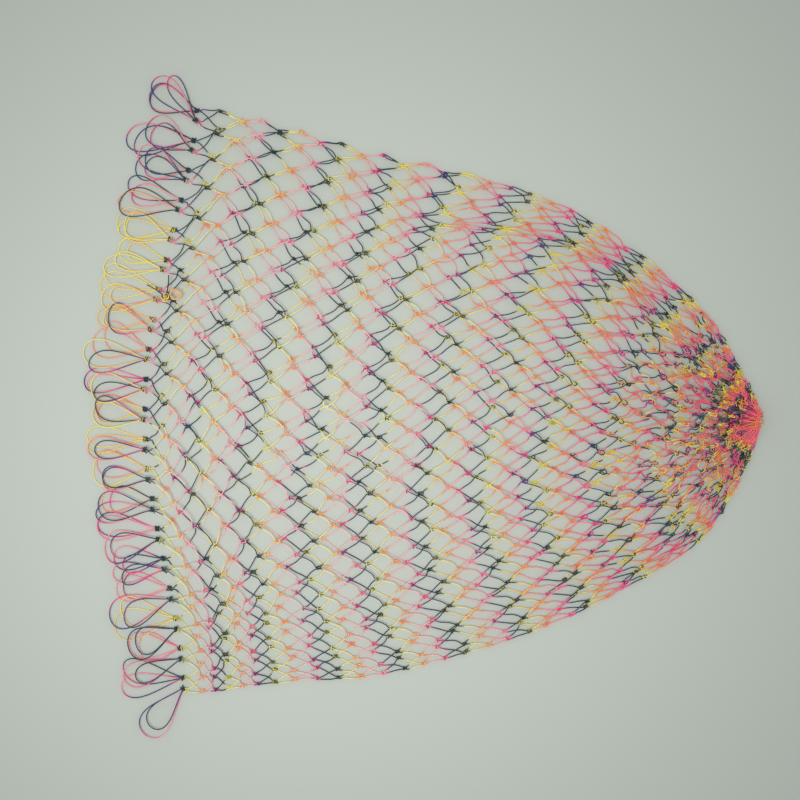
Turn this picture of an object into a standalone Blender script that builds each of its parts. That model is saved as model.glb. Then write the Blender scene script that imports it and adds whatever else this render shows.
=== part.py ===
"""A hand-knotted bag of fishing net, lying flat: a mouth edge with head loops, and a gathered toe.

Frame: +X runs from the mouth to the toe, +Y across the bag, +Z up. The bag lies on z = 0, with the
origin under the middle of its box. The netting is two layers, front (upper) and back (lower), which
are each split at the line where the bag folds in two. Each head loop is a separate ring that swings
about the knot that holds it. All sizes are in metres.
"""

import math

import bmesh
import bpy
from mathutils import Vector

# Outline of the flattened bag. Each side runs from its mouth corner to the tip of the toe.
TIP = Vector((0.3035, -0.0160))
LEFT_SIDE = [
    Vector((-0.2030, 0.2700)),
    Vector((-0.1130, 0.2440)),
    Vector((-0.0410, 0.2240)),
    Vector((0.0670, 0.2005)),
    Vector((0.1570, 0.1635)),
    Vector((0.2470, 0.0855)),
    Vector((0.2785, 0.0370)),
    TIP,
]
RIGHT_SIDE = [
    Vector((-0.2155, -0.2670)),
    Vector((-0.1130, -0.2530)),
    Vector((-0.0410, -0.2480)),
    Vector((0.0670, -0.2190)),
    Vector((0.1570, -0.1810)),
    Vector((0.2470, -0.1240)),
    Vector((0.2785, -0.0790)),
    TIP,
]
MOUTH_MIDDLE_X = -0.2500
MOUTH_SHAPE_REACH = 0.35

# Netting, as shells of the thickness of one knotted twine layer
LAYER_THICKNESS = 0.0014
BACK_HEIGHT = LAYER_THICKNESS / 2
FRONT_EDGE_HEIGHT = 0.0027
FRONT_CROWN = 0.0080
TOE_TAPER_FROM = 0.75
TOE_TAPER_HEIGHT = 0.55
SHELL_END = 0.963
LENGTHWISE_CELLS = 12
CROSSWISE_CELLS = 10

# Fold across the bag
FOLD_X = 0.0600
FOLD_GAP = 0.0004
FOLD_AXIS_Z = 0.0125

# Head loops
LOOPS_PER_LAYER = 20
LOOP_CORD_RADIUS = 0.0009
LOOP_POINTS = 12
LOOP_ROOT_ROUNDNESS = 0.45
LOOP_EDGE_GAP = 0.0024
FRONT_LOOP_PHASE = 0.36
BACK_LOOP_PHASE = 0.70
FRONT_LOOP_TIP_HEIGHT = 0.0038
BACK_LOOP_HEIGHT = 0.0011
LOOP_LENGTH = 0.0508
LOOP_LENGTH_SWING = 0.0065
LOOP_WIDTH = 0.0205
LOOP_WIDTH_SWING = 0.0015
LOOP_LEAN_DEG = 5.0
FRONT_LOOP_FAN_DEG = 16.0
BACK_LOOP_FAN_DEG = 8.0
FRONT_LOOP_FAN_END_DEG = 40.0
BACK_LOOP_FAN_END_DEG = 5.0
LOOP_FAN_END_POWER = 5
LOOP_JITTER_DEG = 3.0

# Gathered toe, the twine drawn round it, and the knot where the netting twine was joined
GATHER_CENTRE = Vector((0.2960, -0.0160, 0.0080))
GATHER_SEMI_AXES = Vector((0.0095, 0.0085, 0.0055))
GATHER_SEGMENTS = 12
GATHER_RINGS = 8
DRAW_TWINE_RADIUS = 0.0008
DRAW_TWINE_GAP = 0.0004
DRAW_TWINE_POINTS = 14
JOINING_KNOT_ALONG = 0.012
JOINING_KNOT_ACROSS = 0.345
JOINING_KNOT_GAP = 0.0004
JOINING_KNOT_SEMI_AXES = Vector((0.0050, 0.0042, 0.0028))
JOINING_KNOT_SEGMENTS = 8
JOINING_KNOT_RINGS = 6
TAIL_RADIUS = 0.0007
TAIL_LENGTH = 0.0140
TAIL_GAP = 0.0004
TAIL_BEND = 0.0030
TAIL_POINTS = 6
LONG_TAIL_HEADING_DEG = 137.0
SHORT_TAIL_HEADING_DEG = 74.0

TWINE_ROUGHNESS = 0.55

# The middle of the finished bag's box, in the outline's coordinates, which becomes the origin
BOX_MIDDLE = Vector((-0.00171, -0.00097, 0.0))


def clear_scene():
    for item in list(bpy.data.objects):
        bpy.data.objects.remove(item)


def make_material(name, colour):
    material = bpy.data.materials.new(name)
    material.use_nodes = True
    shader = material.node_tree.nodes["Principled BSDF"]
    shader.inputs["Base Color"].default_value = (*colour, 1.0)
    shader.inputs["Roughness"].default_value = TWINE_ROUGHNESS
    shader.inputs["Metallic"].default_value = 0.0
    return material


def add_object(name, data, material):
    item = bpy.data.objects.new(name, data)
    data.materials.append(material)
    bpy.context.scene.collection.objects.link(item)
    return item


# ---------------------------------------------------------------- the flattened surface


def point_on_side(points, fraction):
    """The point at a fraction of a side's length, on a smooth curve through its points."""
    marks = [0.0]
    for start, end in zip(points, points[1:]):
        marks.append(marks[-1] + (end - start).length)
    target = min(max(fraction, 0.0), 1.0) * marks[-1]
    i = max(k for k in range(len(points) - 1) if marks[k] <= target)

    def slope(k):
        before, after = max(k - 1, 0), min(k + 1, len(points) - 1)
        return (points[after] - points[before]) / (marks[after] - marks[before])

    span = marks[i + 1] - marks[i]
    s = (target - marks[i]) / span
    return (
        points[i] * (2 * s**3 - 3 * s**2 + 1)
        + slope(i) * span * (s**3 - 2 * s**2 + s)
        + points[i + 1] * (3 * s**2 - 2 * s**3)
        + slope(i + 1) * span * (s**3 - s**2)
    )


def flat_point(along, across):
    """Where a point of the net lies: along is 0 at the mouth and 1 at the tip, across is -1 to 1.

    Rows bow towards the mouth in their middle. The mouth edge itself is straighter at its corners.
    """
    left = point_on_side(LEFT_SIDE, along)
    right = point_on_side(RIGHT_SIDE, along)
    place = right.lerp(left, (across + 1) / 2)
    middle_x = MOUTH_MIDDLE_X + along * (TIP.x - MOUTH_MIDDLE_X)
    chord_x = (left.x + right.x) / 2
    mouth_share = max(0.0, 1 - along / MOUTH_SHAPE_REACH)
    place.x += (middle_x - chord_x) * (1 - across**2) * (1 - mouth_share * across**2)
    return place


def front_height(along, across):
    """The height of the front layer, which arches over the bag's pocket and comes down at the toe."""
    past = max(0.0, along - TOE_TAPER_FROM) / (1 - TOE_TAPER_FROM)
    crown = FRONT_CROWN * (1 - (1 - TOE_TAPER_HEIGHT) * past**2)
    return FRONT_EDGE_HEIGHT + crown * (1 - across**2)


def back_height(along, across):
    return BACK_HEIGHT


# ---------------------------------------------------------------- netting shells


def make_layer(name, height, toe_side, material):
    """One half of a layer: a grid over the outline, cut at the fold line and given its thickness."""
    net = bmesh.new()
    bmesh.ops.create_grid(
        net, x_segments=LENGTHWISE_CELLS, y_segments=CROSSWISE_CELLS, size=1.0
    )
    for vertex in net.verts:
        along = (vertex.co.x + 1) / 2 * SHELL_END
        across = vertex.co.y
        flat = flat_point(along, across)
        vertex.co = (flat.x, flat.y, height(along, across))
    side = 1 if toe_side else -1
    bmesh.ops.bisect_plane(
        net,
        geom=net.verts[:] + net.edges[:] + net.faces[:],
        plane_co=(FOLD_X + side * FOLD_GAP / 2, 0, 0),
        plane_no=(-side, 0, 0),
        clear_outer=True,
    )
    bmesh.ops.recalc_face_normals(net, faces=net.faces[:])
    if sum(face.normal.z for face in net.faces) < 0:
        bmesh.ops.reverse_faces(net, faces=net.faces[:])
    mesh = bpy.data.meshes.new(name)
    net.to_mesh(mesh)
    net.free()
    item = add_object(name, mesh, material)
    shell = item.modifiers.new("Thickness", "SOLIDIFY")
    shell.thickness = LAYER_THICKNESS
    shell.offset = 0.0
    return item


# ---------------------------------------------------------------- head loops


def loop_across(number, phase):
    return -1 + 2 * (number + phase) / LOOPS_PER_LAYER


def loop_sway(number, salt):
    """A fixed wobble from -1 to 1, so that no two neighbouring loops lie alike."""
    return math.sin(2.4 * number + 1.7 * salt)


def loop_direction(across, fan_deg, end_deg, number, salt):
    """Loops point out of the mouth, lean a little, and fan towards the corners of the bag."""
    fan = LOOP_LEAN_DEG + fan_deg * across + end_deg * across**LOOP_FAN_END_POWER
    angle = math.radians(180 - fan + LOOP_JITTER_DEG * loop_sway(number, salt))
    return Vector((math.cos(angle), math.sin(angle), 0.0))


def loop_frame(number, is_front):
    """A head loop's root on the mouth edge, its direction, its length and its width."""
    salt = 1 if is_front else 2
    across = loop_across(number, FRONT_LOOP_PHASE if is_front else BACK_LOOP_PHASE)
    edge = flat_point(0.0, across)
    fan_deg = FRONT_LOOP_FAN_DEG if is_front else BACK_LOOP_FAN_DEG
    end_deg = FRONT_LOOP_FAN_END_DEG if is_front else BACK_LOOP_FAN_END_DEG
    ahead = loop_direction(across, fan_deg, end_deg, number, salt)
    height = front_height(0.0, across) if is_front else BACK_LOOP_HEIGHT
    root = Vector((edge.x - LOOP_EDGE_GAP, edge.y, height))
    length = LOOP_LENGTH + LOOP_LENGTH_SWING * loop_sway(number, salt + 3)
    width = LOOP_WIDTH + LOOP_WIDTH_SWING * loop_sway(number, salt + 4)
    return root, ahead, length, width


def make_loop(name, number, is_front, material):
    """A teardrop ring of doubled twine, with its origin at its root, on the hinge axis."""
    root, ahead, length, width = loop_frame(number, is_front)
    aside = Vector((0, 0, 1)).cross(ahead)
    drop = FRONT_LOOP_TIP_HEIGHT - root.z if is_front else 0.0
    curve = bpy.data.curves.new(name, "CURVE")
    curve.dimensions = "3D"
    curve.bevel_depth = LOOP_CORD_RADIUS
    curve.bevel_resolution = 2
    spline = curve.splines.new("POLY")
    spline.points.add(LOOP_POINTS - 1)
    spline.use_cyclic_u = True
    for i, point in enumerate(spline.points):
        turn = 2 * math.pi * i / LOOP_POINTS
        out = (1 - math.cos(turn)) / 2
        swell = LOOP_ROOT_ROUNDNESS + (1 - LOOP_ROOT_ROUNDNESS) * out
        place = ahead * length * out + aside * (width / 2) * math.sin(turn) * swell
        place.z += drop * math.sin(out * math.pi / 2)
        point.co = (*place, 1.0)
    item = add_object(name, curve, material)
    item.location = root
    return item


# ---------------------------------------------------------------- toe and joining knot


def make_ball(name, centre, semi_axes, segments, rings, material):
    """A sphere squeezed to three half widths."""
    ball = bmesh.new()
    bmesh.ops.create_uvsphere(ball, u_segments=segments, v_segments=rings, radius=1.0)
    bmesh.ops.scale(ball, vec=semi_axes, verts=ball.verts[:])
    mesh = bpy.data.meshes.new(name)
    ball.to_mesh(mesh)
    ball.free()
    item = add_object(name, mesh, material)
    item.location = centre
    return item


def make_toe_gather(material):
    """The bunched last meshes at the tip."""
    return make_ball(
        "toe_gather",
        GATHER_CENTRE,
        GATHER_SEMI_AXES,
        GATHER_SEGMENTS,
        GATHER_RINGS,
        material,
    )


def make_draw_twine(material):
    """The twine that draws the toe shut: a ring round the gather, square to the bag's length."""
    clearance = DRAW_TWINE_RADIUS * 1.1 + DRAW_TWINE_GAP
    curve = bpy.data.curves.new("toe_draw_twine", "CURVE")
    curve.dimensions = "3D"
    curve.bevel_depth = DRAW_TWINE_RADIUS
    curve.bevel_resolution = 2
    spline = curve.splines.new("POLY")
    spline.points.add(DRAW_TWINE_POINTS - 1)
    spline.use_cyclic_u = True
    for i, point in enumerate(spline.points):
        turn = 2 * math.pi * i / DRAW_TWINE_POINTS
        across = (GATHER_SEMI_AXES.y + clearance) * math.cos(turn)
        up = (GATHER_SEMI_AXES.z + clearance) * math.sin(turn)
        point.co = (0.0, across, up, 1.0)
    item = add_object("toe_draw_twine", curve, material)
    item.location = GATHER_CENTRE
    return item


def joining_knot_centre():
    """Just over the front layer, beside the mouth edge."""
    edge = flat_point(JOINING_KNOT_ALONG, JOINING_KNOT_ACROSS)
    height = front_height(JOINING_KNOT_ALONG, JOINING_KNOT_ACROSS)
    lift = LAYER_THICKNESS / 2 + JOINING_KNOT_SEMI_AXES.z + JOINING_KNOT_GAP
    return Vector((edge.x, edge.y, height + lift))


def make_joining_knot(material):
    """The lumpy knot where one length of netting twine was joined to the next."""
    return make_ball(
        "joining_knot",
        joining_knot_centre(),
        JOINING_KNOT_SEMI_AXES,
        JOINING_KNOT_SEGMENTS,
        JOINING_KNOT_RINGS,
        material,
    )


def make_tail(name, heading_deg, material):
    """A cut end of twine that sticks out of the joining knot."""
    heading = math.radians(heading_deg)
    ahead = Vector((math.cos(heading), math.sin(heading), 0.0))
    side = Vector((-ahead.y, ahead.x, 0.0))
    reach = JOINING_KNOT_SEMI_AXES.x + TAIL_RADIUS + TAIL_GAP
    curve = bpy.data.curves.new(name, "CURVE")
    curve.dimensions = "3D"
    curve.bevel_depth = TAIL_RADIUS
    curve.bevel_resolution = 2
    curve.use_fill_caps = True
    spline = curve.splines.new("POLY")
    spline.points.add(TAIL_POINTS - 1)
    for i, point in enumerate(spline.points):
        share = i / (TAIL_POINTS - 1)
        place = ahead * (reach + TAIL_LENGTH * share) + side * TAIL_BEND * share**2
        point.co = (*place, 1.0)
    item = add_object(name, curve, material)
    item.location = joining_knot_centre()
    return item


def move_to_origin():
    for item in bpy.data.objects:
        item.location -= BOX_MIDDLE


def main():
    clear_scene()
    netting = make_material("net_twine", (0.80, 0.47, 0.42))
    heading = make_material("head_loop_twine", (0.85, 0.60, 0.25))
    binding = make_material("binding_twine", (0.85, 0.30, 0.22))
    for toe_side, half in ((False, "mouth"), (True, "toe")):
        make_layer(f"back_net_{half}", back_height, toe_side, netting)
        make_layer(f"front_net_{half}", front_height, toe_side, netting)
    for is_front, layer in ((True, "front"), (False, "back")):
        for number in range(LOOPS_PER_LAYER):
            make_loop(f"{layer}_head_loop_{number + 1:02d}", number, is_front, heading)
    make_toe_gather(netting)
    make_draw_twine(binding)
    make_joining_knot(binding)
    make_tail("joining_tail_long", LONG_TAIL_HEADING_DEG, binding)
    make_tail("joining_tail_short", SHORT_TAIL_HEADING_DEG, binding)
    move_to_origin()


main()
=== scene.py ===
"""The looks of a hand-knotted net bag: every round of netting is one length of twine, knot by knot.

Units are metres, in the row frame: +X from the mouth to the toe, +Y across the bag, +Z up.
"""

import math

import bpy
import numpy as np
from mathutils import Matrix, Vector


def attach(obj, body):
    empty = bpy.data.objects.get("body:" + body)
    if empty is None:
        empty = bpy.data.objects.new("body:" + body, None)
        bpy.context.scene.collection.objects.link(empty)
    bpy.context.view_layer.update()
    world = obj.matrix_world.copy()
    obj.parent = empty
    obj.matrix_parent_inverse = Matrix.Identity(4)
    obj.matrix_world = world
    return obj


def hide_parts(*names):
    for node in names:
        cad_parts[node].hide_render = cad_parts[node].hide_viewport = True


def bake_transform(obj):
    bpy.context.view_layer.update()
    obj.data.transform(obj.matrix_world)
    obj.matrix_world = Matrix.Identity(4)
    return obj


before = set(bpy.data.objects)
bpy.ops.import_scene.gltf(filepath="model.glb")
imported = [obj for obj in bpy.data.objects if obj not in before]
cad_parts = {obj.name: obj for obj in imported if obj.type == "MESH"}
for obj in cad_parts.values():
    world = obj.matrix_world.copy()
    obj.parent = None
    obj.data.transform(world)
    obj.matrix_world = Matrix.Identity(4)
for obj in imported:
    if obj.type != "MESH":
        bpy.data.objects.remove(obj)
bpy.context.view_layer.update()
rng = np.random.default_rng(20)

# The middle of the CAD model's box, in the outline's own coordinates. The CAD puts it at the origin.
BOX_MIDDLE = np.array((-0.00171, -0.00097))

# Outline of the flattened bag, each side from its mouth corner to the tip of the toe
TIP = (0.3035, -0.0160)
LEFT_SIDE = [
    (-0.2030, 0.2700),
    (-0.1130, 0.2440),
    (-0.0410, 0.2240),
    (0.0670, 0.2005),
    (0.1570, 0.1635),
    (0.2470, 0.0855),
    (0.2785, 0.0370),
    TIP,
]
RIGHT_SIDE = [
    (-0.2155, -0.2670),
    (-0.1130, -0.2530),
    (-0.0410, -0.2480),
    (0.0670, -0.2190),
    (0.1570, -0.1810),
    (0.2470, -0.1240),
    (0.2785, -0.0790),
    TIP,
]
MOUTH_MIDDLE_X = -0.2500
BAG_DEPTH = TIP[0] - MOUTH_MIDDLE_X
MOUTH_SHAPE_REACH = 0.35
FOLD_X = 0.0600
FOLD_REACH = 0.050

# Heights of the two layers, the front one as in the CAD
FRONT_EDGE_HEIGHT = 0.0027
FRONT_CROWN = 0.0080
TOE_TAPER_FROM = 0.75
TOE_TAPER_HEIGHT = 0.55
BACK_HEIGHT = 0.0014
BACK_TOE_LIFT = 0.0045
BACK_UNEVENNESS = 0.0003

# The mesh: rounds of knots from the mouth to the toe, and the twine. The first few rounds lie closer
# together, and from SHORT_MESH_FROM on each one lies a little closer to the one before.
ROUNDS = 34
KNOTS_PER_ROUND = 40
ROUND_PITCH = 0.0175
SHORT_MESH_FROM = 24
SHORTENING = 0.000505
SHORT_START = 0.0117
FIRST_KNOT_PHASE = 0.30
BACK_ROWS_BEHIND = 0.0085
MESH_BAR = 0.0195
KNOT_SPAN = 0.0040
TWINE_RADIUS = 0.00048
KNOT_UNIT = 0.00122
FIRST_ROUND_KNOT_SIZE = 1.25
TWINE_SIDES = 6
TWINE_LAY = 0.0034
TWINE_PLIES = 3.0
ROUNDS_PER_DYE_CYCLE = 3.0

# How the front layer lies: the pleat near its left side, and how far the rounds lag across it
PLEAT_ALONG = (0.30, 0.39, 0.55, 0.67, 0.835, 0.95)
PLEAT_ACROSS = (0.72, 0.765, 0.83, 0.86, 0.70, 0.45)
PLEAT_DEPTH = 0.80
PLEAT_WIDTH = 0.13
PLEAT_HEIGHT = 0.0040
SLEW_ACROSS = (-1, -0.6, -0.3, 0, 0.3, 0.7, 1)
SLEW_SHIFT = (-0.020, -0.014, -0.005, 0, 0.004, 0.010, 0.012)
CRUMPLED = (0.66, 0.86)

# How far knots stray: in metres along the bag and up, and in shares of its half width across it
ROUND_WANDER = 0.0020
ROUND_SCATTER = 0.0007
CRUMPLE_SCATTER = 0.0016
COLUMN_WANDER = 0.008
COLUMN_SCATTER = 0.0035
CRUMPLE_ASIDE = 0.015
FRONT_SHIFT_ASIDE = 0.012
FRONT_SPREAD_ASIDE = 0.055
EDGE_CROWDING = 0.05
BODY_CROWDING = 0.06
LAYER_WANDER = 0.0011
LAYER_SCATTER = 0.0006

# How far the dye strays from the rounds, in rounds: in waves, in patches towards the toe, and near
# the tip. The last two are for a round's own knots and bights.
DYE_WANDER = 0.18
DYE_PATCHES = 0.95
DYE_LATE = 0.45
KNOT_DYE_AHEAD = 0.06
BIGHT_DYE_AHEAD = 0.88

# The bight of one round, and the twine of the next round bent round it. Each row is (towards the
# toe, back towards where the round came from, up), in knot units.
BIGHT = np.array(
    [
        (-1.60, 0.60, 0.00),
        (-0.50, 0.52, 0.10),
        (0.50, 0.75, 0.25),
        (1.40, 0.80, 0.30),
        (1.95, 0.05, 0.20),
        (1.35, -0.75, 0.10),
        (0.45, -0.62, 0.20),
        (-0.50, -0.60, 0.10),
        (-1.30, -1.00, 0.00),
    ]
)
SHEET_BEND = np.array(
    [
        (2.10, 0.95, -0.20),
        (1.20, 0.25, -0.70),
        (0.45, 0.05, 0.00),
        (-0.10, 0.40, 0.95),
        (-0.45, 1.25, 0.20),
        (-0.60, 0.60, -0.85),
        (-0.60, -0.60, -0.85),
        (-0.35, -1.30, 0.00),
        (0.10, -0.75, 0.85),
        (1.80, -1.00, -0.10),
    ]
)

# Head loops, as in the CAD
LOOPS_PER_LAYER = 20
LOOP_EDGE_GAP = 0.0024
FRONT_LOOP_PHASE = 0.36
BACK_LOOP_PHASE = 0.70
FRONT_LOOP_TIP_HEIGHT = 0.0038
BACK_LOOP_HEIGHT = 0.0011
LOOP_LENGTH = 0.0508
LOOP_LENGTH_SWING = 0.0065
LOOP_WIDTH = 0.0205
LOOP_WIDTH_SWING = 0.0015
LOOP_LEAN_DEG = 5.0
FRONT_LOOP_FAN_DEG = 16.0
BACK_LOOP_FAN_DEG = 8.0
FRONT_LOOP_FAN_END_DEG = 40.0
BACK_LOOP_FAN_END_DEG = 5.0
LOOP_FAN_END_POWER = 5
LOOP_JITTER_DEG = 3.0

# How each loop's twine runs: wound round its neck, then twice round the loop. The spans and
# spreads are for the first turn and for the second.
LOOP_TWINE_RADIUS = 0.00048
LOOP_TURNS = 2
LOOP_STEPS = 26
LOOP_TWINE_SIDES = 8
LOOP_TURN_LIFT = 0.0012
TURN_REACH = ((0.92, 1.04), (0.78, 1.00))
TURN_WIDTH = ((1.45, 2.15), (1.10, 2.10))
TURN_LEAN = (0.07, 0.12)
TURN_BEND = (0.0025, 0.0035)
NECK_TURNS = 3.6
NECK_STEPS = 30
NECK_RADIUS = 0.0020
NECK_FLATNESS = 0.5
NECK_LENGTH = 0.0030
NECK_BEHIND = 0.0012
NECK_SLANT = 0.0014

# The toe: its middle as in the CAD, the bunched last bights with their parts of the dye cycle, and
# the twine drawn round them
GATHER_CENTRE = np.array((0.2960, -0.0160, 0.0080))
TOE_TIP_RADIUS = 0.0055
TOE_KNOT_DYE = 35.8
TOE_MIDDLE_DYE = 35.4
TOE_TIP_DYE = 35.0
DRAW_TWINE_WIDE = 0.0080
DRAW_TWINE_HIGH = 0.0066
DRAW_TWINE_PITCH = 0.0013

# The joining knot and its tails, where the CAD has them
JOINING_KNOT_ALONG = 0.012
JOINING_KNOT_ACROSS = 0.345
JOINING_KNOT_LIFT = 0.0039
TAIL_START = 0.0030
TAIL_REACH = 0.0170
TAIL_BEND = 0.0030
BINDING_TWINE_RADIUS = 0.0005
JOINING_TWINE_RADIUS = 0.00055
BOUND_TWINE_FRESHNESS = 0.6

UP = np.array((0.0, 0.0, 1.0))


# ---------------------------------------------------------------- the flattened surface


def on_side(points, fraction):
    """Points at fractions of a side's length, on a smooth curve through its points."""
    points = np.array(points)
    steps = np.linalg.norm(np.diff(points, axis=0), axis=1)
    marks = np.concatenate([[0.0], np.cumsum(steps)])
    order = np.arange(len(points))
    before = np.maximum(order - 1, 0)
    after = np.minimum(order + 1, len(points) - 1)
    slopes = (points[after] - points[before]) / (marks[after] - marks[before])[:, None]
    target = np.clip(fraction, 0.0, 1.0) * marks[-1]
    i = np.clip(np.searchsorted(marks, target, side="right") - 1, 0, len(points) - 2)
    span = (marks[i + 1] - marks[i])[..., None]
    s = (target - marks[i])[..., None] / span
    return (
        points[i] * (2 * s**3 - 3 * s**2 + 1)
        + slopes[i] * span * (s**3 - 2 * s**2 + s)
        + points[i + 1] * (3 * s**2 - 2 * s**3)
        + slopes[i + 1] * span * (s**3 - s**2)
    )


def flat_points(along, across):
    """Where points of the net lie: along is 0 at the mouth and 1 at the tip, across is -1 to 1."""
    along, across = np.broadcast_arrays(np.asarray(along, float), across)
    left = on_side(LEFT_SIDE, along)
    right = on_side(RIGHT_SIDE, along)
    place = right + (left - right) * ((across + 1) / 2)[..., None]
    middle_x = MOUTH_MIDDLE_X + along * BAG_DEPTH
    chord_x = (left[..., 0] + right[..., 0]) / 2
    mouth_share = np.maximum(0.0, 1 - along / MOUTH_SHAPE_REACH)
    place[..., 0] += (middle_x - chord_x) * (1 - across**2) * (1 - mouth_share * across**2)
    return place - BOX_MIDDLE


def front_height(along, across):
    """The height of the front layer: domed across, and lower towards the toe."""
    past = np.maximum(0.0, along - TOE_TAPER_FROM) / (1 - TOE_TAPER_FROM)
    crown = FRONT_CROWN * (1 - (1 - TOE_TAPER_HEIGHT) * past**2)
    return FRONT_EDGE_HEIGHT + crown * (1 - across**2)


def smooth(value, low, high):
    """0 up to low, 1 from high on, and an even curve between."""
    s = np.clip((value - low) / (high - low), 0.0, 1.0)
    return s * s * (3 - 2 * s)


# ---------------------------------------------------------------- twine


def curved(points, closed, times):
    """A Catmull-Rom curve through the points, with each gap cut in times steps.

    The points run along the last axis but one.
    """
    if closed:
        p = np.concatenate([points[..., -1:, :], points, points[..., :2, :]], axis=-2)
    else:
        first = 2 * points[..., :1, :] - points[..., 1:2, :]
        last = 2 * points[..., -1:, :] - points[..., -2:-1, :]
        p = np.concatenate([first, points, last], axis=-2)
    a, b, c, d = (p[..., k : p.shape[-2] - 3 + k, :] for k in range(4))
    made = []
    for k in range(times):
        s = k / times
        made.append(
            0.5
            * (
                2 * b
                + (c - a) * s
                + (2 * a - 5 * b + 4 * c - d) * s**2
                + (3 * b - a - 3 * c + d) * s**3
            )
        )
    out = np.stack(made, axis=-2)
    out = out.reshape(*out.shape[:-3], -1, points.shape[-1])
    if closed:
        return out
    return np.concatenate([out, points[..., -1:, :]], axis=-2)


def unit(v):
    """The vectors at length 1."""
    return v / np.maximum(np.linalg.norm(v, axis=-1, keepdims=True), 1e-12)


def tube_mesh(name, line, bands, fresh, radius, closed, sides=TWINE_SIDES):
    """A tube along line, with a UV map that runs round the twine and along it.

    bands is where each point is in the dye's cycle, and fresh how little it has faded.
    """
    n = len(line)
    if closed:
        tangent = unit(np.roll(line, -1, axis=0) - np.roll(line, 1, axis=0))
    else:
        tangent = unit(np.gradient(line, axis=0))
    normal = np.empty_like(line)
    helper = np.eye(3)[np.argmin(np.abs(tangent[0]))]
    last = unit(np.cross(tangent[0], helper))
    for k in range(n):
        last = last - tangent[k] * np.dot(last, tangent[k])
        last = last / math.sqrt(np.dot(last, last))
        normal[k] = last
    binormal = np.cross(tangent, normal)
    turn = np.zeros(n)
    if closed:
        arrived = last - tangent[0] * np.dot(last, tangent[0])
        angle = math.atan2(np.dot(arrived, binormal[0]), np.dot(arrived, normal[0]))
        turn = -angle * np.arange(n) / n
    theta = 2 * math.pi * np.arange(sides) / sides + turn[:, None]
    radii = np.broadcast_to(np.asarray(radius, float), (n,))[:, None, None]
    cos, sin = np.cos(theta)[..., None], np.sin(theta)[..., None]
    ring = cos * normal[:, None] + sin * binormal[:, None]
    verts = (line[:, None] + ring * radii).reshape(-1, 3)
    gaps = n if closed else n - 1
    k, s = np.meshgrid(np.arange(gaps), np.arange(sides), indexing="ij")
    k2, s2 = (k + 1) % n, (s + 1) % sides
    quads = np.stack([k * sides + s, k * sides + s2, k2 * sides + s2, k2 * sides + s], axis=-1)
    following = np.roll(line, -1, axis=0) if closed else line[1:]
    steps = np.linalg.norm(following[:gaps] - line[:gaps], axis=1)
    length = np.concatenate([[0.0], np.cumsum(steps)])
    around = np.stack([s, s + 1, s + 1, s], axis=-1) / sides
    lengthwise = np.stack([length[k], length[k], length[k + 1], length[k + 1]], axis=-1)
    uv = np.stack([around, lengthwise], axis=-1).reshape(-1, 2)
    faces = quads.reshape(-1, 4)
    mesh = bpy.data.meshes.new(name)
    if closed:
        mesh.from_pydata(verts, [], faces.tolist())
        caps = 0
    else:
        start_cap = list(range(sides))[::-1]
        end_cap = [(n - 1) * sides + s for s in range(sides)]
        mesh.from_pydata(verts, [], faces.tolist() + [start_cap, end_cap])
        caps = 2 * sides
    layer = mesh.uv_layers.new(name="twine")
    values = np.concatenate([uv.ravel(), np.zeros(2 * caps)])
    layer.data.foreach_set("uv", values)
    band = mesh.attributes.new("band", "FLOAT", "POINT")
    band.data.foreach_set("value", np.repeat(bands, sides))
    vivid = mesh.attributes.new("fresh", "FLOAT", "POINT")
    vivid.data.foreach_set("value", np.repeat(np.broadcast_to(fresh, (n,)), sides))
    mesh.polygons.foreach_set("use_smooth", np.ones(len(mesh.polygons), bool))
    mesh.validate()
    return mesh


def add_piece(name, mesh, material):
    """A new object in the scene, with one material."""
    piece = bpy.data.objects.new(name, mesh)
    mesh.materials.append(material)
    bpy.context.scene.collection.objects.link(piece)
    return piece


# ---------------------------------------------------------------- materials


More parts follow.
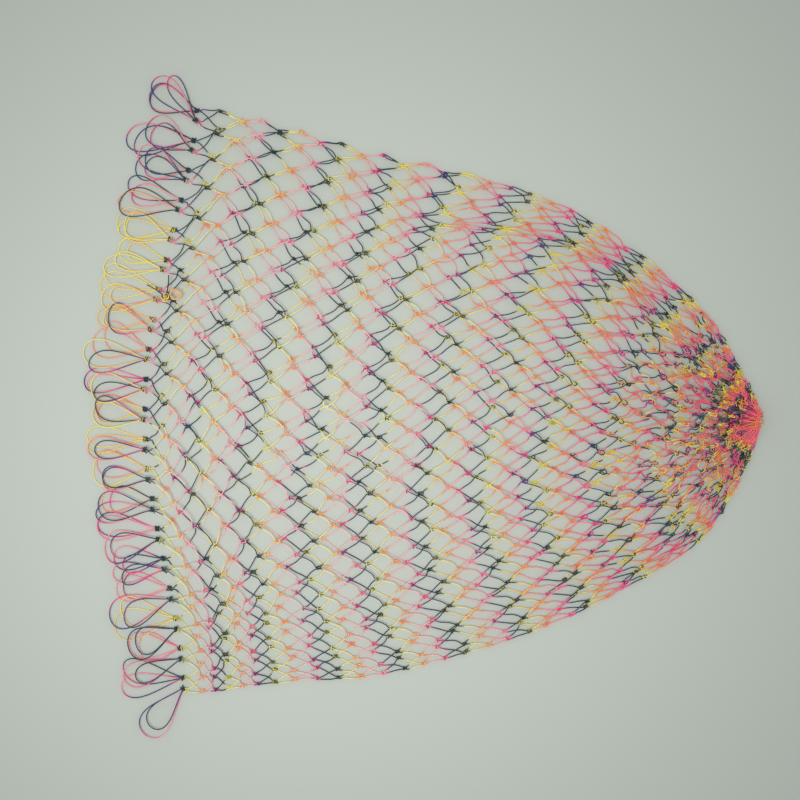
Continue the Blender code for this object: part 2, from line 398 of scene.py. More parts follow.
def twine_material(name, faded, fresh, sheen, roughness):
    """Space-dyed laid twine.

    The band attribute picks the colour, the fresh attribute its strength, and the UV map carries
    the plies, with painted shade darkening the base colour in the grooves between them.
    """
    material = bpy.data.materials.new(name)
    material.use_nodes = True
    tree = material.node_tree
    shader = tree.nodes["Principled BSDF"]

    def add(kind, **inputs):
        node = tree.nodes.new(kind)
        for key, value in inputs.items():
            node.inputs[key].default_value = value
        return node

    def maths(operation, a, b):
        node = tree.nodes.new("ShaderNodeMath")
        node.operation = operation
        for socket, value in zip(node.inputs, (a, b)):
            if isinstance(value, (int, float)):
                socket.default_value = value
            else:
                tree.links.new(value, socket)
        return node.outputs[0]

    band = tree.nodes.new("ShaderNodeAttribute")
    band.attribute_name = "band"
    place = tree.nodes.new("ShaderNodeTexCoord")
    blotches = add("ShaderNodeTexNoise", Scale=160.0, Detail=3.0, Roughness=0.6)
    tree.links.new(place.outputs["Object"], blotches.inputs["Vector"])
    patches = add("ShaderNodeTexNoise", Scale=32.0, Detail=1.0, Roughness=0.5)
    tree.links.new(place.outputs["Object"], patches.inputs["Vector"])
    fine_spread = maths("MULTIPLY", maths("SUBTRACT", blotches.outputs["Fac"], 0.5), 0.05)
    wide_spread = maths("MULTIPLY", maths("SUBTRACT", patches.outputs["Fac"], 0.5), 0.11)
    spread = maths("ADD", fine_spread, wide_spread)
    dye_place = maths("DIVIDE", band.outputs["Fac"], ROUNDS_PER_DYE_CYCLE)
    cycle = maths("FRACT", maths("ADD", dye_place, spread), 0.0)

    def dye(colours):
        ramp = tree.nodes.new("ShaderNodeValToRGB")
        marks = ramp.color_ramp.elements
        marks[0].position, marks[0].color = colours[0][0], (*colours[0][1], 1.0)
        marks[1].position, marks[1].color = colours[-1][0], (*colours[-1][1], 1.0)
        for position, colour in colours[1:-1]:
            mark = marks.new(position)
            mark.color = (*colour, 1.0)
        tree.links.new(cycle, ramp.inputs["Fac"])
        return ramp.outputs["Color"]

    def mixed(kind, share, a, b):
        node = tree.nodes.new("ShaderNodeMix")
        node.data_type = "RGBA"
        node.blend_type = kind
        if isinstance(share, float):
            node.inputs[0].default_value = share
        else:
            tree.links.new(share, node.inputs[0])
        tree.links.new(a, node.inputs[6])
        tree.links.new(b, node.inputs[7])
        return node.outputs[2]

    vivid = tree.nodes.new("ShaderNodeAttribute")
    vivid.attribute_name = "fresh"
    dyed = mixed("MIX", vivid.outputs["Fac"], dye(faded), dye(fresh))

    uv = tree.nodes.new("ShaderNodeUVMap")
    uv.uv_map = "twine"
    split = tree.nodes.new("ShaderNodeSeparateXYZ")
    tree.links.new(uv.outputs["UV"], split.inputs["Vector"])
    plies = maths("MULTIPLY", split.outputs["X"], TWINE_PLIES)
    laid = maths("ADD", plies, maths("DIVIDE", split.outputs["Y"], TWINE_LAY))
    wave = maths("ABSOLUTE", maths("SINE", maths("MULTIPLY", laid, math.pi), 0.0), 0.0)
    fibres = add("ShaderNodeTexNoise", Scale=2600.0, Detail=2.0, Roughness=0.7)
    tree.links.new(place.outputs["Object"], fibres.inputs["Vector"])
    height = maths("ADD", wave, maths("MULTIPLY", fibres.outputs["Fac"], 0.45))
    bump = add("ShaderNodeBump", Strength=0.55, Distance=0.00022)
    tree.links.new(height, bump.inputs["Height"])
    tree.links.new(bump.outputs["Normal"], shader.inputs["Normal"])

    # Painted shade: the base colour is darkened in the grooves between the plies, and the fibre noise
    # varies its tone at random
    groove_shade = maths("MINIMUM", maths("ADD", maths("MULTIPLY", wave, 0.60), 0.70), 1.0)
    fuzz = maths("ADD", maths("MULTIPLY", fibres.outputs["Fac"], 0.30), 0.85)
    groove_shade_and_fibre_tone = maths("MULTIPLY", groove_shade, fuzz)
    tree.links.new(mixed("MULTIPLY", 1.0, dyed, groove_shade_and_fibre_tone), shader.inputs["Base Color"])

    rough = maths("ADD", maths("MULTIPLY", blotches.outputs["Fac"], 0.22), roughness - 0.11)
    tree.links.new(rough, shader.inputs["Roughness"])
    shader.inputs["Sheen Weight"].default_value = sheen
    shader.inputs["Sheen Roughness"].default_value = 0.4
    shader.inputs["Specular IOR Level"].default_value = 0.35
    return material


def srgb(red, green, blue):
    """A screen colour, 0 to 255 each, as the linear values that the nodes take."""
    values = np.array((red, green, blue)) / 255
    linear = np.where(values <= 0.04045, values / 12.92, ((values + 0.055) / 1.055) ** 2.4)
    return tuple(float(v) for v in linear)


# The dye's colours along one cycle, on twine that has faded and on twine that hasn't
FADED_DYE = [
    (0.000, srgb(236, 46, 116)),
    (0.028, srgb(206, 38, 108)),
    (0.048, srgb(84, 42, 116)),
    (0.100, srgb(20, 40, 92)),
    (0.190, srgb(8, 50, 64)),
    (0.290, srgb(10, 46, 36)),
    (0.352, srgb(20, 32, 14)),
    (0.364, srgb(196, 184, 44)),
    (0.385, srgb(240, 232, 128)),
    (0.450, srgb(244, 238, 162)),
    (0.600, srgb(246, 226, 150)),
    (0.640, srgb(250, 178, 100)),
    (0.667, srgb(252, 134, 62)),
    (0.700, srgb(250, 180, 144)),
    (0.750, srgb(250, 204, 196)),
    (0.940, srgb(250, 198, 203)),
    (1.000, srgb(236, 46, 116)),
]

FRESH_DYE = [
    (0.000, srgb(248, 52, 130)),
    (0.030, srgb(190, 50, 146)),
    (0.060, srgb(84, 38, 136)),
    (0.100, srgb(16, 52, 108)),
    (0.155, srgb(6, 88, 90)),
    (0.215, srgb(8, 44, 34)),
    (0.290, srgb(18, 28, 14)),
    (0.325, srgb(96, 92, 24)),
    (0.345, srgb(240, 222, 60)),
    (0.420, srgb(252, 232, 80)),
    (0.500, srgb(255, 190, 74)),
    (0.590, srgb(255, 152, 80)),
    (0.690, srgb(255, 132, 104)),
    (0.800, srgb(255, 120, 128)),
    (0.920, srgb(255, 98, 148)),
    (1.000, srgb(248, 52, 130)),
]

net_twine = twine_material("dyed_net_twine", FADED_DYE, FRESH_DYE, 0.35, 0.52)
loop_twine = twine_material("dyed_loop_twine", FADED_DYE, FRESH_DYE, 0.30, 0.45)
binding_twine = twine_material("dyed_binding_twine", FADED_DYE, FRESH_DYE, 0.20, 0.58)


# ---------------------------------------------------------------- netting


def waves(along, turn, count, seed, around=(1, 6), lengthwise=(0.5, 3.5)):
    """A smooth field that mostly stays between -1 and 1, over the length of the bag and round it."""
    dice = np.random.default_rng(seed)
    total = np.zeros(np.broadcast(along, turn).shape)
    for _ in range(count):
        times_round = dice.integers(*around) * dice.choice((-1, 1))
        phase = times_round * turn + dice.uniform(*lengthwise) * along + dice.random()
        total += np.sin(2 * math.pi * phase)
    return total / count**0.5


def crease(along, across):
    """Draws the front layer together along a pleat near the left side.

    Returns the new across, and how deep in the pleat each point is.
    """
    line = np.interp(along, PLEAT_ALONG, PLEAT_ACROSS)
    depth = PLEAT_DEPTH * smooth(along, 0.30, 0.44) * (1 - smooth(along, 0.82, 0.95))
    near = np.exp(-(((across - line) / PLEAT_WIDTH) ** 2))
    return across - depth * (across - line) * near, depth * near


def lattice():
    """For each knot: its place along and across, its layer, its depth in the pleat, and its turn.

    The turn goes from 0 to 1 once round the bag. Each array has a row for each round of knots and
    one for the last bights, and a column for each knot of a round.
    """
    row = np.arange(ROUNDS + 1)[:, None]
    past = np.maximum(0, row - SHORT_MESH_FROM)
    from_mouth = ROUND_PITCH * row - SHORT_START * smooth(row, 0, 6) - SHORTENING * past**2
    along = from_mouth / BAG_DEPTH
    turn = (np.arange(KNOTS_PER_ROUND) + FIRST_KNOT_PHASE + 0.5 * (row % 2)) / KNOTS_PER_ROUND
    turn = turn % 1.0
    is_front = turn < 0.5
    across = np.where(is_front, -1 + 4 * turn, 3 - 4 * turn)

    # Along the bag: the rounds wave, slant across the front and lag on the back layer
    fade = smooth(along, 0.0, 0.06)
    loose = fade * (1 - 0.75 * smooth(along, 0.75, 0.97))
    shift = ROUND_WANDER * waves(along, turn, count=5, seed=3)
    shift = shift + rng.normal(0.0, ROUND_SCATTER, turn.shape)
    slewed = np.interp(across, SLEW_ACROSS, SLEW_SHIFT)
    shift = shift + smooth(along, 0.0, 0.2) * slewed
    shift = shift - np.where(is_front, 0.0, BACK_ROWS_BEHIND) * (1 - across**4)
    crumpled = smooth(along, *CRUMPLED)
    restless = crumpled * rng.normal(0.0, CRUMPLE_SCATTER, turn.shape)
    along_moved = along + (loose * shift + restless) / BAG_DEPTH

    # Across it: the columns crowd towards the sides, wave, and are drawn into the pleat
    crowded = fade * EDGE_CROWDING + BODY_CROWDING * smooth(along, 0.35, 0.75)
    across_moved = across + crowded * np.sin(math.pi * across)
    sideways = COLUMN_WANDER * waves(along, turn, count=5, seed=9)
    sideways = sideways + rng.normal(0.0, COLUMN_SCATTER, turn.shape)
    front_aside = FRONT_SHIFT_ASIDE + FRONT_SPREAD_ASIDE * across
    sideways = sideways + np.where(is_front, front_aside, 0.0)
    bunched = CRUMPLE_ASIDE * crumpled * rng.normal(0.0, 1.0, turn.shape)
    across_moved = across_moved + (loose * sideways + bunched) * (1 - across**8)
    creased, in_pleat = crease(along_moved, across_moved)
    across_moved = np.clip(np.where(is_front, creased, across_moved), -1.0, 1.0)
    in_pleat = np.where(is_front, in_pleat, 0.0)
    return along_moved, across_moved, is_front, in_pleat, turn


def layer_height(along, across, is_front, in_pleat, turn):
    """The height of each knot. The back layer lies on the floor, and lifts at the toe."""
    lift = LAYER_WANDER * waves(along, turn, count=6, seed=15)
    lift = lift + LAYER_SCATTER * smooth(along, *CRUMPLED) * rng.normal(0.0, 1.0, turn.shape)
    front = front_height(along, across) + PLEAT_HEIGHT * in_pleat + lift * (1 - across**4)
    unevenness = BACK_UNEVENNESS * (1 + waves(along, turn, count=6, seed=21))
    back = BACK_HEIGHT + BACK_TOE_LIFT * smooth(along, 0.90, 0.99) + unevenness
    return np.where(is_front, front, back)


along, across, is_front, in_pleat, turn = lattice()
height = layer_height(along, across, is_front, in_pleat, turn)
knots = np.concatenate([flat_points(along, across), height[..., None]], axis=-1)


def knot_axes():
    """For each knot, unit vectors towards the toe, back round the bag, and up or down.

    Each set is turned and tilted a little at random.
    """
    ahead = flat_points(np.minimum(along + 0.01, 1.0), across) - flat_points(along - 0.01, across)
    ahead = unit(np.concatenate([ahead, np.zeros((*along.shape, 1))], axis=-1))
    restless = 0.16 + 0.20 * smooth(along, 0.62, 0.85)
    spin = (restless * rng.normal(0.0, 1.0, along.shape))[..., None]
    aside = np.stack([-ahead[..., 1], ahead[..., 0], ahead[..., 2]], axis=-1)
    ahead = ahead * np.cos(spin) + aside * np.sin(spin)
    aside = np.stack([-ahead[..., 1], ahead[..., 0], ahead[..., 2]], axis=-1)
    backwards = np.where(is_front[..., None], -aside, aside)
    up = np.zeros_like(ahead)
    up[..., 2] = 1.0
    tilt = rng.normal(0.0, 0.25, along.shape)[..., None]
    cos, sin = np.cos(tilt), np.sin(tilt)
    backwards, up = backwards * cos + up * sin, up * cos - backwards * sin
    flip = rng.choice((-1.0, 1.0), along.shape)[..., None]
    return ahead, backwards, up * flip


AHEAD, BACKWARDS, OUTWARDS = knot_axes()
KNOT_SIZE = KNOT_UNIT * rng.uniform(0.90, 1.15, along.shape)


def placed(shape, row, column, size=1.0):
    """A knot path's points, put at a knot."""
    axes = np.stack([AHEAD[row, column], BACKWARDS[row, column], OUTWARDS[row, column]])
    scale = KNOT_SIZE[row, column] * size
    return knots[row, column] + shape @ axes * scale


LEG_SHARES = np.array((0.12, 0.27, 0.42, 0.58, 0.73, 0.88))[:, None]


def leg(start, end, start_heading, end_heading, slack_share):
    """The twine from one knot to the next, which bows where it is slack.

    The headings turn it away from the straight line at each end.
    """
    across_gap = end - start
    gap = np.linalg.norm(across_gap)
    straight = across_gap / gap
    first = unit(straight + start_heading) * gap * 0.36
    last = unit(straight + end_heading) * gap * 0.36
    s = LEG_SHARES
    line = (
        start * (1 - s) ** 3
        + 3 * (start + first) * s * (1 - s) ** 2
        + 3 * (end - last) * s**2 * (1 - s)
        + end * s**3
    )
    side = np.array((-straight[1], straight[0], 0.0))
    spare = slack_share * max(0.0, MESH_BAR - KNOT_SPAN - gap)
    bow = 2 / math.pi * math.sqrt(gap * spare)
    lean = rng.uniform(-1.3, 1.3)
    curve = side * (bow * math.sin(lean) + gap * rng.normal(0.0, 0.018))
    curve = curve + np.array((0.0, 0.0, 0.6 * bow * math.cos(lean) + gap * rng.normal(0.0, 0.02)))
    ripple = side * (gap * rng.normal(0.0, 0.010) + 0.25 * bow * rng.normal(0.0, 1.0))
    return line + curve * np.sin(math.pi * s) + ripple * np.sin(2 * math.pi * s)


def dye_lag(here, place):
    """How far the dye runs ahead of the rounds.

    It slips by one round across the middle of each layer, and by patches near the toe.
    """
    slip_front = 0.215 + 0.018 * math.sin(23.0 * here)
    slip = 1 - smooth(place, slip_front - 0.012, slip_front + 0.012) + smooth(place, 0.77, 0.80)
    patchy = smooth(here, 0.62, 0.86)
    wide = DYE_WANDER * waves(here, place, count=5, seed=33)
    patches = DYE_PATCHES * waves(
        here, place, count=6, seed=35, around=(2, 11), lengthwise=(4.0, 11.0)
    )
    late = DYE_LATE * smooth(here, 0.86, 0.99)
    return slip + wide + patchy * patches + late + rng.normal(0.0, 0.04 + 0.22 * patchy)


def round_line(row):
    """The twine of one round, with its place in the dye's cycle and how fresh its dye is.

    At each knot it makes a sheet bend on a bight of the round before, and then a bight for the
    round after it.
    """
    points, bands, vivid = [], [], []
    here = (row + 0.5) / ROUNDS
    least_faded = 0.10 + 0.90 * float(smooth(here, 0.34, 0.74))
    curl = 1 + 0.55 * float(smooth(here, 0.50, 0.70) - smooth(here, 0.78, 0.92))
    slack_share = 0.04 + 0.24 * float(smooth(here, 0.55, 0.80))
    bend_size = FIRST_ROUND_KNOT_SIZE if row == 0 else 1.0
    for column in range(KNOTS_PER_ROUND):
        if row % 2 == 0:
            next_column = column
        else:
            next_column = (column + 1) % KNOTS_PER_ROUND
        following = (column + 1) % KNOTS_PER_ROUND
        bend = placed(SHEET_BEND, row, column, bend_size)
        open_bight = BIGHT.copy()
        tip = open_bight[:, 0] > 0
        tamed = 1 - 0.75 * float(smooth(abs(across[row + 1, next_column]), 0.80, 0.98))
        spread = 1 + (curl * rng.uniform(0.75, 1.35) - 1) * tamed
        open_bight[tip, :2] = open_bight[tip, :2] * spread
        bight = placed(open_bight, row + 1, next_column)
        onward = placed(SHEET_BEND, row, following, bend_size)
        ahead, ahead_next = AHEAD[row, column], AHEAD[row + 1, next_column]
        ahead_following = AHEAD[row, following]
        slack = slack_share * tamed
        down = leg(bend[-1], bight[0], 0.15 * ahead, 0.05 * ahead_next, slack)
        back_up = leg(bight[-1], onward[0], 0.55 * ahead_next, -0.30 * ahead_following, slack)
        points += [bend, down, bight, back_up]
        sheltered = smooth(across[row, column], 0.40, 0.78) * smooth(here, 0.10, 0.35)
        length = len(bend) + len(bight) + 2 * len(LEG_SHARES)
        vivid.append(np.full(length, min(1.0, least_faded + 0.50 * float(sheltered))))
        lag = dye_lag(here, turn[row, column])
        bands += [
            np.full(len(bend), row + lag + KNOT_DYE_AHEAD),
            row + lag + LEG_SHARES[:, 0],
            np.full(len(bight), row + BIGHT_DYE_AHEAD + lag),
            row + lag + LEG_SHARES[::-1, 0],
        ]
    return np.concatenate(points), np.concatenate(bands), np.concatenate(vivid)


fold_at = FOLD_X - BOX_MIDDLE[0]
start, end = fold_at - FOLD_REACH, fold_at + FOLD_REACH
for row in range(ROUNDS):
    control, bands, fresh = round_line(row)
    packed = curved(np.concatenate([control, bands[:, None], fresh[:, None]], axis=1), True, 2)
    line, bands, fresh = packed[:, :3], packed[:, 3], packed[:, 4]
    line[:, 2] = np.maximum(line[:, 2], TWINE_RADIUS)
    name = f"netting_round_{row + 1:02d}"
    piece = add_piece(name, tube_mesh(name, line, bands, fresh, TWINE_RADIUS, True), net_twine)
    low, high = line[:, 0].min(), line[:, 0].max()
    if high <= start:
        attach(piece, "mouth_half")
        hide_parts("front_net_mouth", "back_net_mouth")
    elif low >= end:
        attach(piece, "toe_half")
        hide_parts("front_net_toe", "back_net_toe")
    else:
        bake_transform(piece)
        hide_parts("front_net_mouth", "back_net_mouth", "front_net_toe", "back_net_toe")


# ---------------------------------------------------------------- head loops


def loop_sway(number, salt):
    """A value from -1 to 1 that looks random from one loop to the next."""
    return math.sin(2.4 * number + 1.7 * salt)


def loop_frame(number, front):
    """A head loop's root off the mouth edge, its direction, length and width, and its place across."""
    salt = 1 if front else 2
    phase = FRONT_LOOP_PHASE if front else BACK_LOOP_PHASE
    across = -1 + 2 * (number + phase) / LOOPS_PER_LAYER
    fan_deg = FRONT_LOOP_FAN_DEG if front else BACK_LOOP_FAN_DEG
    end_deg = FRONT_LOOP_FAN_END_DEG if front else BACK_LOOP_FAN_END_DEG
    fan = LOOP_LEAN_DEG + fan_deg * across + end_deg * across**LOOP_FAN_END_POWER
    angle = math.radians(180 - fan + LOOP_JITTER_DEG * loop_sway(number, salt))
    ahead = np.array((math.cos(angle), math.sin(angle), 0.0))
    edge = flat_points(0.0, across)
    height = front_height(0.0, across) if front else BACK_LOOP_HEIGHT
    root = np.array((edge[0] - LOOP_EDGE_GAP, edge[1], height))
    length = LOOP_LENGTH + LOOP_LENGTH_SWING * loop_sway(number, salt + 3)
    width = LOOP_WIDTH + LOOP_WIDTH_SWING * loop_sway(number, salt + 4)
    return root, ahead, length, width, across


# The part of the dye cycle along each loop. Each row is a place down the mouth, from 0 at its left
# corner to 10 at its right one, and then the front loops' two turns and the back loops' two turns.
LOOP_DYES = np.array(
    [
        (0.0, 3.05, 3.35, 2.90, 3.25),
        (1.0, 3.00, 3.25, 3.10, 3.45),
        (1.5, 3.10, 3.30, 2.95, 3.40),
        (1.8, 2.10, 3.80, 3.60, 2.00),
        (2.1, 1.30, 1.35, 1.35, 1.30),
        (2.9, 1.28, 1.32, 1.30, 1.35),
        (3.3, 1.35, 1.70, 1.30, 1.30),
        (3.9, 1.60, 3.30, 1.85, 1.70),
        (4.6, 1.35, 3.40, 3.25, 2.85),
        (5.3, 1.30, 3.35, 1.35, 1.40),
        (6.0, 3.05, 3.30, 1.30, 1.55),
        (6.5, 2.85, 3.40, 1.40, 3.25),
        (7.2, 2.95, 3.35, 3.10, 2.85),
        (8.0, 2.90, 3.30, 3.05, 3.45),
        (8.5, 3.05, 3.40, 1.30, 1.40),
        (8.9, 3.45, 3.50, 1.35, 1.30),
        (9.3, 2.85, 3.60, 3.15, 3.45),
        (9.7, 3.10, 3.40, 2.95, 3.25),
        (10.0, 2.90, 3.40, 3.05, 3.30),
    ]
)

# A loop near PALE_DYE is yellow, with an olive neck. The others have a dark green neck.
PALE_DYE = 1.3
PALE_DYE_REACH = 0.4
PALE_NECK_DYE = 1.02
DARK_NECK_DYE = 3.62


def loop_turns(root, ahead, length, width, tip_drop):
    """Both turns of a loop. No two turns are alike in length, width or lean."""
    aside = np.array((-ahead[1], ahead[0], 0.0))
    turns = np.arange(LOOP_TURNS * LOOP_STEPS + 1) / LOOP_STEPS
    tau = 2 * math.pi * turns
    second = smooth(turns, 0.85, 1.15)

    def each_turn(values):
        first_value, second_value = values
        return (first_value * (1 - second) + second_value * second)[:, None]

    out = ((1 - np.cos(tau)) / 2)[:, None]
    reach = length * each_turn([rng.uniform(*span) for span in TURN_REACH]) * out
    wide = width * each_turn([rng.uniform(*span) for span in TURN_WIDTH])
    lean = each_turn([rng.normal(0.0, spread) for spread in TURN_LEAN])
    bend = each_turn([rng.normal(0.0, spread) for spread in TURN_BEND])
    swell = 0.10 + 0.90 * out**1.1
    sideways = wide / 2 * np.sin(tau)[:, None] * swell + lean * reach + bend * out**2
    lift = each_turn([0.0, LOOP_TURN_LIFT]) * (0.3 + 0.7 * out)
    rise = tip_drop * np.sin(out * math.pi / 2) + lift
    return root + ahead * reach + aside * sideways + UP * rise


def neck(root, ahead):
    """The head knot: turns wound round the neck of a loop, each at a slant of its own."""
    aside = np.array((-ahead[1], ahead[0], 0.0))
    share = np.arange(NECK_STEPS)[:, None] / NECK_STEPS
    angle = 2 * math.pi * NECK_TURNS * share + rng.uniform(0.0, 6.0)
    slant = np.sin(2 * math.pi * 1.6 * share + rng.uniform(0.0, 6.0))
    radius = NECK_RADIUS * (1 + 0.15 * np.sin(1.7 * angle + rng.uniform(0.0, 6.0)))
    forward = NECK_LENGTH * share - NECK_BEHIND + NECK_SLANT * slant * np.cos(angle)
    turned = aside * np.cos(angle) + NECK_FLATNESS * UP * np.sin(angle)
    return root + ahead * forward + radius * turned


def loop_bands(place_across, front, count):
    """Where each of a loop's points is in the dye's cycle. The neck is darker than the turns."""
    marks = LOOP_DYES[:, 0]
    dyes = LOOP_DYES[:, 1:3] if front else LOOP_DYES[:, 3:5]
    down_mouth = (0.5 - place_across / 2) * marks[-1]
    first_turn, second_turn = (np.interp(down_mouth, marks, column) for column in dyes.T)
    share = np.linspace(-NECK_STEPS / LOOP_STEPS, LOOP_TURNS, count)
    second = smooth(share, 0.85, 1.15)
    bands = first_turn * (1 - second) + second_turn * second
    pale = np.abs(bands - PALE_DYE) < PALE_DYE_REACH
    drift = np.where(pale, 0.12, 0.28)
    bands = bands + drift * np.sin(2 * math.pi * share * 1.3 + rng.uniform(0.0, 6.0))
    neck_dye = np.where(pale, PALE_NECK_DYE, DARK_NECK_DYE) + 0.12 * np.sin(9.0 * share)
    return np.where(share < 0, neck_dye, bands)


for front in (True, False):
    for number in range(LOOPS_PER_LAYER):
        layer = "front" if front else "back"
        root, ahead, length, width, place_across = loop_frame(number, front)
        tip_drop = FRONT_LOOP_TIP_HEIGHT - root[2] if front else 0.0
        wound = neck(root, ahead)
        turns = loop_turns(root, ahead, length, width, tip_drop)
        line = curved(np.concatenate([wound, turns[1:]]), False, 2)
        line[:, 2] = np.maximum(line[:, 2], LOOP_TWINE_RADIUS)
        bands = loop_bands(place_across, front, len(line))
        name = f"{layer}_loop_twine_{number + 1:02d}"
        mesh = tube_mesh(
            name, line, bands, BOUND_TWINE_FRESHNESS, LOOP_TWINE_RADIUS, False, LOOP_TWINE_SIDES
        )
        piece = add_piece(name, mesh, loop_twine)
        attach(piece, f"{layer}_loop_{number + 1:02d}")
        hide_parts(f"{layer}_head_loop_{number + 1:02d}")


# ---------------------------------------------------------------- toe and joining knot


def toe_bunch():
    """The last round's long bights, which run from its knots to the tip and back, and their dye."""
    tip = np.array((*(np.array(TIP) - BOX_MIDDLE), GATHER_CENTRE[2]))
    points, bands = [], []
    for column in range(KNOTS_PER_ROUND):
        here = placed(SHEET_BEND, ROUNDS, column)
        angle = 2 * math.pi * turn[ROUNDS, column] + rng.normal(0.0, 0.3)
        spread = TOE_TIP_RADIUS * np.array((0.0, -math.cos(angle), 0.8 * math.sin(angle)))
        peak = tip + spread + np.array((rng.uniform(-0.006, -0.001), 0.0, 0.0))
        middle = (here[-1] + peak) / 2 + rng.normal(0.0, 0.0007, 3)
        points += [here, middle[None], peak[None]]
        lag = 0.55 * math.sin(3 * angle + 1.0) + rng.normal(0.0, 0.15)
        bands += [
            np.full(len(here), TOE_KNOT_DYE + lag),
            np.array((TOE_MIDDLE_DYE + lag, TOE_TIP_DYE + lag)),
        ]
    return np.concatenate(points), np.concatenate(bands)


control, bands = toe_bunch()
packed = curved(np.concatenate([control, bands[:, None]], axis=1), True, 3)
line, bands = packed[:, :3], packed[:, 3]
mesh = tube_mesh("toe_bunch_twine", line, bands, 1.0, TWINE_RADIUS, True)
bunch = add_piece("toe_bunch_twine", mesh, net_twine)
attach(bunch, "toe_half")
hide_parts("toe_gather")


def draw_twine_line():
    """Two uneven turns round the bunched bights, which end in an overhand knot on top."""
    centre = np.array((*(GATHER_CENTRE[:2] - BOX_MIDDLE), GATHER_CENTRE[2]))
    turns = np.linspace(0.0, 2.0, 60)
    tau = 2 * math.pi * turns + math.pi / 2
    radius = 1 + 0.04 * np.sin(3 * tau) + 0.03 * turns
    ring = np.stack(
        [
            DRAW_TWINE_PITCH * (turns - 1) + 0.0005 * np.sin(2 * tau),
            DRAW_TWINE_WIDE * radius * np.cos(tau),
            DRAW_TWINE_HIGH * radius * np.sin(tau),
        ],
        axis=-1,
    )
    knot = np.array(
        [
            (0.0002, 0.0012, 0.0078),
            (0.0018, 0.0016, 0.0090),
            (0.0016, -0.0012, 0.0096),
            (-0.0012, -0.0014, 0.0086),
            (-0.0016, 0.0012, 0.0080),
            (0.0010, 0.0030, 0.0084),
            (0.0040, 0.0052, 0.0076),
        ]
    )
    return centre + np.concatenate([ring, knot])


line = curved(draw_twine_line(), False, 2)
bands = 2.0 + 0.4 * np.linspace(0, 1, len(line))
mesh = tube_mesh("toe_draw_twine_laid", line, bands, 1.0, BINDING_TWINE_RADIUS, False)
draw_twine = add_piece("toe_draw_twine_laid", mesh, binding_twine)
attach(draw_twine, "toe_half")
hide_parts("toe_draw_twine")


def joining_centre():
    """The middle of the joining knot, which sits on the front layer."""
    edge = flat_points(JOINING_KNOT_ALONG, JOINING_KNOT_ACROSS)
    height = front_height(JOINING_KNOT_ALONG, JOINING_KNOT_ACROSS) + JOINING_KNOT_LIFT
    return np.array((edge[0], edge[1], height))


def wound_ball(centre, semi_axes, turns, seed):
    """Twine wound over itself into a lump."""
    dice = np.random.default_rng(seed)
    s = np.linspace(0.0, 1.0, 16 * turns)
    azimuth = 2 * math.pi * turns * s
    tilt = 1.1 * np.sin(2 * math.pi * s * turns / 3.3 + dice.random())
    ring = np.stack(
        [np.cos(azimuth) * np.cos(tilt), np.sin(azimuth), np.cos(azimuth) * np.sin(tilt)],
        axis=-1,
    )
    return centre + ring * semi_axes * (0.66 + 0.30 * np.sin(2.3 * azimuth)[:, None])


def slack_ring(centre, radius, turns, seed):
    """Slack twine left in a small uneven ring beside the knot."""
    dice = np.random.default_rng(seed)
    angle = np.linspace(math.pi * 1.2, math.pi * (1.2 + 2 * turns), 14 * turns)
    wobble = 0.20 * np.sin(1.37 * angle + dice.random()) + 0.08 * np.sin(3.1 * angle)
    uneven = radius * (1 + wobble)
    return centre + np.stack(
        [uneven * np.cos(angle), 0.85 * uneven * np.sin(angle), 0.0007 * np.sin(2.3 * angle)],
        axis=-1,
    )


centre = joining_centre()
ring_centre = centre + np.array((0.0086, 0.0030, -0.0014))
ball = wound_ball(centre, np.array((0.0044, 0.0038, 0.0026)), 6, 4)
ring = slack_ring(ring_centre, 0.0046, 2, 8)
line = curved(np.concatenate([ball, ring]), False, 2)
bands = 0.70 + 1.25 * np.linspace(0, 1, len(line))
mesh = tube_mesh(
    "joining_knot_twine", line, bands, BOUND_TWINE_FRESHNESS, JOINING_TWINE_RADIUS, False
)
joining_knot = add_piece("joining_knot_twine", mesh, binding_twine)
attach(joining_knot, "mouth_half")
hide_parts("joining_knot")

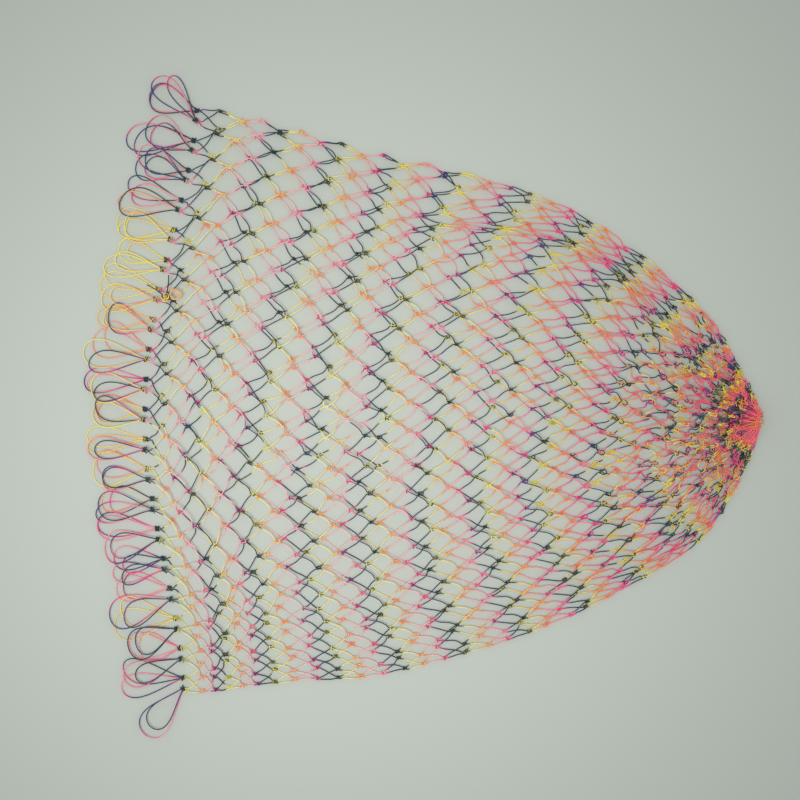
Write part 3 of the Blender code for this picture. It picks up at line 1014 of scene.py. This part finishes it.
for name, heading_deg, node, tone in (
    ("joining_tail_long_twine", 137.0, "joining_tail_long", 0.15),
    ("joining_tail_short_twine", 74.0, "joining_tail_short", 0.75),
):
    heading = math.radians(heading_deg)
    ahead = np.array((math.cos(heading), math.sin(heading), 0.0))
    side = np.array((-ahead[1], ahead[0], 0.0))
    share = np.linspace(0, 1, 9)[:, None]
    line = centre + ahead * (TAIL_START + TAIL_REACH * share) + side * (TAIL_BEND * share**2)
    line = line + UP * (0.0012 * np.sin(math.pi * share) - 0.0010 * share)
    line = curved(line, False, 3)
    bands = tone + 0.20 * np.linspace(0, 1, len(line))
    mesh = tube_mesh(name, line, bands, BOUND_TWINE_FRESHNESS, BINDING_TWINE_RADIUS, False)
    tail = add_piece(name, mesh, binding_twine)
    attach(tail, "mouth_half")
    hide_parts(node)


# ---------------------------------------------------------------- floor, light and camera


def floor_material():
    """A plain, pale, matt surface."""
    material = bpy.data.materials.new("pale_floor")
    material.use_nodes = True
    shader = material.node_tree.nodes["Principled BSDF"]
    shader.inputs["Base Color"].default_value = (*srgb(188, 194, 187), 1.0)
    shader.inputs["Roughness"].default_value = 0.7
    shader.inputs["Specular IOR Level"].default_value = 0.2
    return material


bpy.ops.mesh.primitive_plane_add(size=8.0, location=(0, 0, 0))
floor = bpy.context.active_object
floor.name = "floor"
floor.data.materials.append(floor_material())

scene = bpy.context.scene
world = bpy.data.worlds.new("studio")
scene.world = world
world.use_nodes = True
background = world.node_tree.nodes["Background"]
background.inputs["Color"].default_value = (0.96, 0.99, 0.97, 1.0)
background.inputs["Strength"].default_value = 0.637

key_data = bpy.data.lights.new("key_light", "SPOT")
key_data.energy = 129.0
key_data.color = (1.0, 0.995, 0.985)
key_data.spot_size = math.radians(31.0)
key_data.spot_blend = 1.0
key_data.shadow_soft_size = 0.35
key = bpy.data.objects.new("key_light", key_data)
key.location = (-0.30, -0.25, 2.2)
key_aim = Vector((-0.10, -0.03, 0.0)) - key.location
key.rotation_euler = key_aim.to_track_quat("-Z", "Y").to_euler()
scene.collection.objects.link(key)

camera_data = bpy.data.cameras.new("camera")
camera_data.lens = 80.0
camera_data.sensor_width = 36.0
camera = bpy.data.objects.new("camera", camera_data)
camera.location = (-0.0212, 0.0027, 1.6)
scene.collection.objects.link(camera)
scene.camera = camera
scene.view_settings.view_transform = "Standard"
